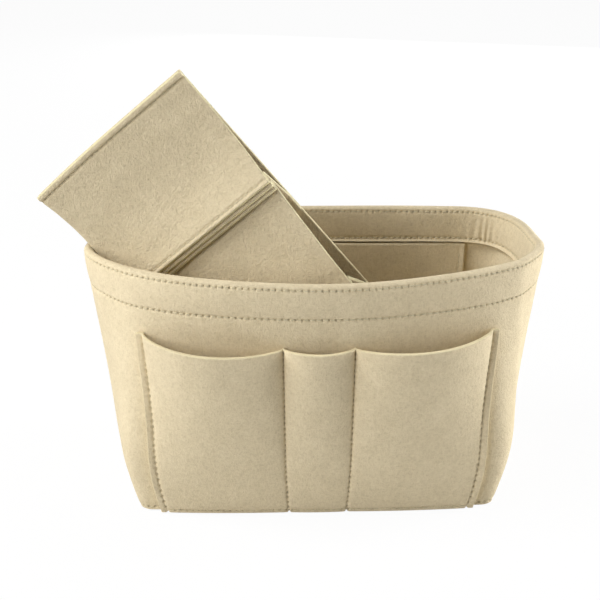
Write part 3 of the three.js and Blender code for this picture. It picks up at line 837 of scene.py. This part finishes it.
def next_panel_line(plain, end, bow):
    """Middle of a front panel from a ridge on: a flange under the strip's lip, a tight turn and a run."""
    stacked = layer_under(ridge_bend(plain, FLANGE_BEND), 2)
    flange = stacked[::-1][:round(FLANGE / BEND_STEP) + 1]
    back = unit(flange[-1] - flange[-2])
    centre = flange[-1] + FLANGE_TURN * np.array([-back[1], back[0]])
    heading = math.atan2(end[1] - centre[1] + FLANGE_TURN, end[0] - centre[0])
    angle = np.linspace(math.atan2(back[1], back[0]), heading, 13)
    turn = centre + FLANGE_TURN * np.stack([np.sin(angle), -np.cos(angle)], axis=-1)
    p = levels(turn[-1, 0], end[0], (), 2.5)[1:]
    share = (p - turn[-1, 0]) / (end[0] - turn[-1, 0])
    r = turn[-1, 1] + (end[1] - turn[-1, 1]) * share + bow * np.sin(math.pi * share)
    return np.vstack([flange, turn[1:], np.stack([p, r], axis=-1)])


def section_lines():
    """Middles of the three front panels in section, and of the first two without their bent ends."""
    p = levels(UPPER_END, CELL_LENGTH - RIDGE_SETBACK, (SEAM_ROW,), 2.0)
    first = np.stack([p, first_panel_middle(p) + end_spread(p)], axis=-1)
    second_end = (2 * CELL_LENGTH - RIDGE_SETBACK, ON_BACK_SHEET + SECOND_RIDGE_DEPTH)
    second = next_panel_line(first, second_end, SECOND_PANEL_BOW)
    seam = (DIVIDER_LENGTH - END_SEAM_WIDTH, ON_BACK_SHEET)
    flat = levels(seam[0], DIVIDER_LENGTH - EDGE_ROUND, (DIVIDER_LENGTH - SEAM_ROW,))[1:]
    third = np.vstack([
        next_panel_line(second, seam, THIRD_PANEL_BOW),
        np.stack([flat, np.full(len(flat), ON_BACK_SHEET)], axis=-1),
    ])
    plain = [first, second]
    return [*(np.vstack([line, ridge_bend(line, PANEL_BEND)[1:]]) for line in plain), third], plain


PANEL_LINES, PLAIN_LINES = section_lines()


def filleted(before, corner, after, radius):
    """Points round a corner between two straight runs, on an arc that touches both."""
    back, on = unit(before - corner), unit(after - corner)
    half = math.acos(back @ on) / 2
    centre = corner + unit(back + on) * radius / math.sin(half)
    start = corner + back * radius / math.tan(half) - centre
    end = corner + on * radius / math.tan(half) - centre
    turn = math.pi - 2 * half
    t = np.linspace(0, 1, 11)[:, None]
    return centre + (np.sin((1 - t) * turn) * start + np.sin(t * turn) * end) / math.sin(turn)


def strip_corners(number):
    """Corners of a folded strip: the end of its foot, the base of its wall, and its fold at the ridge."""
    lip = layer_under(ridge_bend(PLAIN_LINES[number], LIP_BEND), 1)
    fold = lip[0] - unit(lip[1] - lip[0]) * LIP_RUN
    base = np.array([fold[0] + STRIP_LEAN, ON_BACK_SHEET])
    return base + [STRIP_FOOT - EDGE_ROUND, 0], base, fold


def strip_line(number):
    """Middle of a folded strip: a foot on the back sheet, a wall that leans from the ridge, and a lip."""
    lip = layer_under(ridge_bend(PLAIN_LINES[number], LIP_BEND), 1)
    foot, base, fold = strip_corners(number)
    path = Outline(np.vstack([
        foot,
        filleted(foot, base, fold, STRIP_FOOT_BEND),
        filleted(base, fold, lip[0], STRIP_FOLD),
        lip[1:],
    ]))
    return path.at(np.linspace(0, 1, round(path.length / 0.6) + 1))


def divider_sheet(name, line, rows, material, facing=1, relief=0.0, roll=0.0):
    """Felt on a line of the divider's section, with stitch rows as (place, sink) and a rolled start."""
    along = line_lengths(line)[:, None]
    q = divider_heights()[None, :]
    dents = np.repeat(roll * np.clip(1 - along / END_ROLL_LENGTH, 0, 1) ** 2, q.shape[1], axis=1)
    for row, sink in rows:
        dents = np.maximum(dents, hole_pattern(q - SEAM_END_MARGIN, along - row, sink, DIVIDER_HOLE_DEPTH))
    faces = []
    for side in (1, -1):
        offset = side * (FELT / 2 - dents * (side == facing)) + relief
        section = line[:, None, :] + line_normals(line)[:, None, :] * offset[..., None]
        faces.append(divider_points(section[..., 0], q, section[..., 1]))
    return felt_sheet(name, faces[0], faces[1], material)


def foot_places():
    return [strip_corners(number)[1][0] + STRIP_FOOT / 2 for number in (0, 1)]


def divider_back_sheet(name, material):
    rows = [SEAM_ROW, *foot_places(), DIVIDER_LENGTH - SEAM_ROW]
    p = levels(UPPER_END, DIVIDER_LENGTH - EDGE_ROUND, rows)
    line = np.stack([p, FELT / 2 - end_spread(p)], axis=-1)
    relief = undulation(p[:, None], divider_heights()[None, :], 31, SHEET_WAVE, SHEET_UNEVEN)
    return divider_sheet(name, line, [(row - UPPER_END, ROW_SINK) for row in rows], material, -1, relief)


def panel_rows(number):
    """Stitch rows of a front panel, as (place along its line, sink)."""
    length = line_lengths(PANEL_LINES[number])[-1]
    ridge = (length - RIDGE_ROW, RIDGE_SINK)
    upper = (SEAM_ROW - UPPER_END, END_SINK)
    lower = (length - SEAM_ROW + EDGE_ROUND, END_SINK)
    return {0: [upper, ridge], 1: [ridge], 2: [lower]}[number]


def divider_panel(name, number, material):
    line = PANEL_LINES[number]
    along = line_lengths(line)[:, None]
    start = smooth_step((along - PANEL_HELD_START) / PANEL_FADE)
    end = smooth_step((along[-1] - PANEL_HELD_END - along) / PANEL_FADE)
    uneven = undulation(along, divider_heights()[None, :], 40 + number, PANEL_WAVE, PANEL_UNEVEN)
    roll = END_ROLL if number == 0 else 0.0
    relief = start * end * (PANEL_LIFT + uneven)
    return divider_sheet(name, line, panel_rows(number), material, 1, relief, roll)


def divider_stitches(name, line, row, sink, facing, material, seed):
    """Stitches from the bottom edge to the mouths at a place along a line of the divider's section."""
    lengths, normals = line_lengths(line), line_normals(line)
    p, r, across, up = (np.interp(row, lengths, column) for column in (*line.T, *normals.T))
    q = np.arange(SEAM_END_MARGIN, DIVIDER_HEIGHT - SEAM_END_MARGIN + 0.1, STITCH)
    sunk = facing * (FELT / 2 - 0.1 - 0.75 * sink)
    holes = divider_points(np.full(len(q), p + across * sunk), q, np.full(len(q), r + up * sunk))
    normal = facing * (across * DIVIDER_AXES[0] + up * DIVIDER_AXES[2])
    return stitch_row(name, holes, np.tile(normal, (len(q), 1)), material, seed)


# Materials

def new_material(name):
    material = bpy.data.materials.new(name)
    material.use_nodes = True
    return material, material.node_tree.nodes, material.node_tree.links


def noise(nodes, links, vector, scale, detail, roughness=0.6, distortion=0.0):
    node = nodes.new("ShaderNodeTexNoise")
    node.inputs["Scale"].default_value = scale
    node.inputs["Detail"].default_value = detail
    node.inputs["Roughness"].default_value = roughness
    node.inputs["Distortion"].default_value = distortion
    links.new(vector, node.inputs["Vector"])
    return node.outputs["Fac"]


def stretched(nodes, links, vector, scale, turn):
    """Coordinates that draw a texture out along one direction, for fibres."""
    node = nodes.new("ShaderNodeMapping")
    node.inputs["Scale"].default_value = scale
    node.inputs["Rotation"].default_value = turn
    links.new(vector, node.inputs["Vector"])
    return node.outputs["Vector"]


def math_node(nodes, links, operation, first, second):
    node = nodes.new("ShaderNodeMath")
    node.operation = operation
    for socket, value in zip(node.inputs, (first, second)):
        if isinstance(value, (int, float)):
            socket.default_value = value
        else:
            links.new(value, socket)
    return node.outputs["Value"]


def ramp(nodes, links, value, stops):
    """Colour ramp with stops of (position, colour)."""
    node = nodes.new("ShaderNodeValToRGB")
    elements = node.color_ramp.elements
    while len(elements) < len(stops):
        elements.new(0.5)
    for element, (position, colour) in zip(elements, stops):
        element.position = position
        element.color = (*colour, 1.0)
    links.new(value, node.inputs["Fac"])
    return node.outputs["Color"]


def linear(red, green, blue):
    """Colour written as sRGB values from 0 to 255, made linear."""
    values = [channel / 255 for channel in (red, green, blue)]
    return tuple(v / 12.92 if v <= 0.04045 else ((v + 0.055) / 1.055) ** 2.4 for v in values)


def add_bump(nodes, links, shader, height, strength, relief):
    """Fine relief of a surface, with its height in millimetres."""
    bump = nodes.new("ShaderNodeBump")
    bump.inputs["Strength"].default_value = strength
    bump.inputs["Distance"].default_value = relief * MM
    links.new(height, bump.inputs["Height"])
    links.new(bump.outputs["Normal"], shader.inputs["Normal"])


def felt_material(name, relief):
    material, nodes, links = new_material(name)
    shader = nodes["Principled BSDF"]
    place = nodes.new("ShaderNodeTexCoord").outputs["Object"]
    blotches = noise(nodes, links, place, 90, 3)
    grain = noise(nodes, links, place, 520, 4, 0.65, 0.6)
    strands_a = noise(nodes, links, stretched(nodes, links, place, (260, 1500, 1500), (0.4, 0.3, 0.9)), 1, 3)
    strands_b = noise(nodes, links, stretched(nodes, links, place, (1500, 1500, 260), (0.7, 0.2, 0.3)), 1, 3)
    fibres = math_node(nodes, links, "MAXIMUM", strands_a, strands_b)
    mixed = math_node(nodes, links, "ADD", math_node(nodes, links, "MULTIPLY", grain, 0.5),
                      math_node(nodes, links, "MULTIPLY", fibres, 0.5))
    fine = ramp(nodes, links, mixed, [(0.3, linear(207, 190, 154)), (0.52, linear(228, 212, 178)),
                                      (0.75, linear(241, 227, 195))])
    broad = ramp(nodes, links, blotches, [(0.3, (0.93, 0.925, 0.91)), (0.7, (1.0, 1.0, 1.0))])
    tone = nodes.new("ShaderNodeMix")
    tone.data_type = "RGBA"
    tone.blend_type = "MULTIPLY"
    tone.inputs["Factor"].default_value = 1.0
    links.new(fine, tone.inputs["A"])
    links.new(broad, tone.inputs["B"])
    # Painted highlight: cut edges are mixed towards a pale yellow, where they catch the light.
    edge = nodes.new("ShaderNodeAttribute")
    edge.attribute_name = "cut"
    cut = nodes.new("ShaderNodeMix")
    cut.data_type = "RGBA"
    cut.inputs["B"].default_value = (*linear(240, 230, 185), 1.0)
    links.new(math_node(nodes, links, "MULTIPLY", edge.outputs["Fac"], 0.8), cut.inputs["Factor"])
    links.new(tone.outputs["Result"], cut.inputs["A"])
    links.new(cut.outputs["Result"], shader.inputs["Base Color"])
    shader.inputs["Roughness"].default_value = 0.95
    shader.inputs["Specular IOR Level"].default_value = 0.15
    shader.inputs["Sheen Weight"].default_value = 0.2
    shader.inputs["Sheen Roughness"].default_value = 0.6
    shader.inputs["Sheen Tint"].default_value = (*linear(250, 240, 215), 1.0)
    add_bump(nodes, links, shader, mixed, 0.9, relief)
    return material


def thread_material():
    material, nodes, links = new_material("thread")
    shader = nodes["Principled BSDF"]
    place = nodes.new("ShaderNodeTexCoord").outputs["Object"]
    strands = noise(nodes, links, place, 2500, 2)
    tone = ramp(nodes, links, strands, [(0.3, linear(192, 179, 145)), (0.7, linear(224, 212, 180))])
    links.new(tone, shader.inputs["Base Color"])
    shader.inputs["Roughness"].default_value = 0.7
    shader.inputs["Sheen Weight"].default_value = 0.1
    add_bump(nodes, links, shader, strands, 0.4, 0.1)
    return material


# Pieces of the organizer

FELT_LOOK = felt_material("felt", relief=1.1)
DIVIDER_LOOK = felt_material("divider_felt", relief=2.3)
THREAD_LOOK = thread_material()


def mount_felt(piece, node, body):
    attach(piece, body)
    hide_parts(node)


def mount_thread(piece, node, body):
    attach(piece, body)
    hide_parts(node)


def build_basket():
    for name, half in (("front_wall", FRONT), ("back_wall", BACK)):
        wall = wall_piece(f"{name}_felt", half, FELT_LOOK)
        mount_felt(wall, name, "basket")
    base = base_piece("base_panel_felt", FELT_LOOK)
    mount_felt(base, "base_panel", "basket")
    pocket = pocket_panel("front_pocket_panel_felt", FELT_LOOK)
    mount_felt(pocket, "front_pocket_panel", "basket")
    slip = inner_pocket("inner_pocket_panel_felt", FELT_LOOK)
    mount_felt(slip, "inner_pocket_panel", "basket")


def build_basket_threads():
    hem = 2 * FELT
    rows = {
        "rim_stitch_outer": (RIM_ROW, -THREAD_SINK, 1, 1),
        "rim_stitch_inner": (RIM_ROW, -hem + THREAD_SINK, -1, 2),
        "hem_stitch_outer": (HEM_ROW, -THREAD_SINK, 1, 3),
        "hem_stitch_inner": (HEM_ROW, -hem + THREAD_SINK, -1, 4),
    }
    for node, (z, distance, facing, seed) in rows.items():
        mount_thread(rim_row(f"{node}_thread", z, distance, facing, THREAD_LOOK, seed), node, "basket")
    mount_thread(base_row("base_stitch_thread", THREAD_LOOK), "base_stitch", "basket")
    mount_thread(pocket_foot_row("pocket_base_stitch_thread", THREAD_LOOK), "pocket_base_stitch", "basket")
    for seed, (side, turn) in enumerate((("left", -1), ("right", 1))):
        for which, seam in enumerate(("middle", "side")):
            node = f"pocket_{seam}_stitch_{side}"
            piece = pocket_seam(f"{node}_thread", turn, which, THREAD_LOOK, 10 + 2 * seed + which)
            mount_thread(piece, node, "basket")
        node = f"inner_pocket_stitch_{side}"
        share = inner_pocket_share(turn * (1 - POCKET_HEM / INNER_POCKET_HALF))
        depth = 2 * FELT + GAP - INNER_SEAM_PULL * ROW_SINK
        piece = inside_seam(f"{node}_thread", BACK, share, depth, THREAD_LOOK, 20 + seed)
        mount_thread(piece, node, "basket")
        node = f"side_seam_stitch_{side}"
        piece = inside_seam(f"{node}_thread", FRONT, (1 + turn) / 2, FELT, THREAD_LOOK, 30 + seed)
        mount_thread(piece, node, "basket")


def build_divider():
    back = divider_back_sheet("divider_back_sheet_felt", DIVIDER_LOOK)
    mount_felt(back, "divider_back_sheet", "divider")
    for number, line in enumerate(PANEL_LINES):
        node = f"divider_front_panel_{number + 1}"
        panel = divider_panel(f"{node}_felt", number, DIVIDER_LOOK)
        mount_felt(panel, node, "divider")
    for number in (0, 1):
        node = f"divider_strip_{number + 1}"
        line = strip_line(number)
        strip = divider_sheet(f"{node}_felt", line, [], DIVIDER_LOOK)
        mount_felt(strip, node, "divider")


def build_divider_threads():
    sheet = np.array([[0.0, FELT / 2], [DIVIDER_LENGTH, FELT / 2]])
    rows = {}
    for number, foot in enumerate(foot_places()):
        rows[f"divider_foot_stitch_{number + 1}"] = (sheet, foot, ROW_SINK, -1)
        rows[f"divider_ridge_stitch_{number + 1}"] = (PANEL_LINES[number], *panel_rows(number)[-1], 1)
    for number, panel in enumerate((0, 2)):
        rows[f"divider_end_stitch_{number + 1}"] = (PANEL_LINES[panel], *panel_rows(panel)[0], 1)
    for seed, (node, (line, row, sink, facing)) in enumerate(rows.items()):
        piece = divider_stitches(f"{node}_thread", line, row, sink, facing, THREAD_LOOK, 40 + seed)
        mount_thread(piece, node, "divider")


# Studio

def seen_by_camera(nodes, links):
    """1 for the rays that show a surface to the camera, straight or by way of a gloss or a clear piece."""
    path = nodes.new("ShaderNodeLightPath")
    seen = math_node(nodes, links, "MAXIMUM", path.outputs["Is Camera Ray"], path.outputs["Is Glossy Ray"])
    return math_node(nodes, links, "MAXIMUM", seen, path.outputs["Is Transmission Ray"])


def white_where_seen(nodes, links, shader, seen, share):
    """Mixes white light into a surface for the rays that see it, so that it shows as a white background."""
    glow = nodes.new("ShaderNodeEmission")
    glow.inputs["Color"].default_value = (1, 1, 1, 1)
    glow.inputs["Strength"].default_value = 1.0
    mix = nodes.new("ShaderNodeMixShader")
    links.new(math_node(nodes, links, "MULTIPLY", seen, share), mix.inputs["Fac"])
    links.new(shader, mix.inputs[1])
    links.new(glow.outputs["Emission"], mix.inputs[2])
    return mix.outputs["Shader"]


def build_floor():
    mesh = bpy.data.meshes.new("floor")
    corners = [(x * FLOOR_HALF, y * FLOOR_HALF, 0) for x, y in ((-1, -1), (1, -1), (1, 1), (-1, 1))]
    mesh.from_pydata(corners, [], [(0, 1, 2, 3)])
    floor = bpy.data.objects.new("floor", mesh)
    bpy.context.scene.collection.objects.link(floor)
    material, nodes, links = new_material("floor")
    shader = nodes["Principled BSDF"]
    seen = seen_by_camera(nodes, links)
    pale = math_node(nodes, links, "MULTIPLY", seen, FLOOR_PALE - FLOOR_BOUNCE)
    links.new(math_node(nodes, links, "ADD", pale, FLOOR_BOUNCE), shader.inputs["Base Color"])
    shader.inputs["Roughness"].default_value = 1.0
    shader.inputs["Specular IOR Level"].default_value = 0.0
    surface = white_where_seen(nodes, links, shader.outputs["BSDF"], seen, FLOOR_GLOW)
    links.new(surface, nodes["Material Output"].inputs["Surface"])
    mesh.materials.append(material)


def build_world(strength):
    world = bpy.data.worlds.new("studio")
    world.use_nodes = True
    bpy.context.scene.world = world
    nodes, links = world.node_tree.nodes, world.node_tree.links
    ambient = nodes["Background"]
    ambient.inputs["Color"].default_value = (1, 1, 1, 1)
    seen = seen_by_camera(nodes, links)
    links.new(math_node(nodes, links, "MAXIMUM", seen, strength), ambient.inputs["Strength"])


def area_light(name, place, target, size, power):
    light = bpy.data.lights.new(name, "AREA")
    light.shape = "RECTANGLE"
    light.size, light.size_y = size
    light.energy = power
    lamp = bpy.data.objects.new(name, light)
    bpy.context.scene.collection.objects.link(lamp)
    lamp.location = place
    lamp.rotation_euler = (Vector(target) - Vector(place)).to_track_quat("-Z", "Y").to_euler()


def build_lights():
    middle = (0, 0, 0.1)
    area_light("left_mid", (-1.3, -0.5, 0.5), middle, SOFT_LAMP, 1.5)
    area_light("left_high", (-0.9, -0.09, 1.2), middle, (0.7, 0.5), 15)
    area_light("left_front", (-1.0, -0.9, 0.6), middle, SOFT_LAMP, 9.8)
    area_light("right_front", (1.1, -0.7, 0.2), middle, LOW_LAMP, 1.2)
    area_light("right_side", (1.35, 0.15, 0.4), middle, SOFT_LAMP, 20)
    area_light("right_back", (1.2, 0.6, 0.5), middle, SOFT_LAMP, 4)
    area_light("back_low", (0.3, 1.35, 0.2), middle, LOW_LAMP, 9)
    area_light("backdrop", (0, 1.7, 1.0), (0, 1.8, 0), (1.6, 0.6), 5)


def build_camera():
    data = bpy.data.cameras.new("camera")
    data.sensor_width = SENSOR
    data.lens = SENSOR * FOCAL_PIXELS / FRAME_PIXELS
    camera = bpy.data.objects.new("camera", data)
    bpy.context.scene.collection.objects.link(camera)
    target = Vector(CAMERA_TARGET) * MM
    level = math.cos(CAMERA_ELEVATION)
    back = Vector((-math.sin(CAMERA_YAW) * level, -math.cos(CAMERA_YAW) * level, math.sin(CAMERA_ELEVATION)))
    camera.location = target + back * CAMERA_DISTANCE * MM
    camera.rotation_euler = (-back).to_track_quat("-Z", "Y").to_euler()
    bpy.context.scene.camera = camera


build_basket()
build_basket_threads()
build_divider()
build_divider_threads()
build_floor()
build_world(WORLD_LIGHT)
build_lights()
build_camera()
bpy.context.scene.view_settings.view_transform = "Standard"
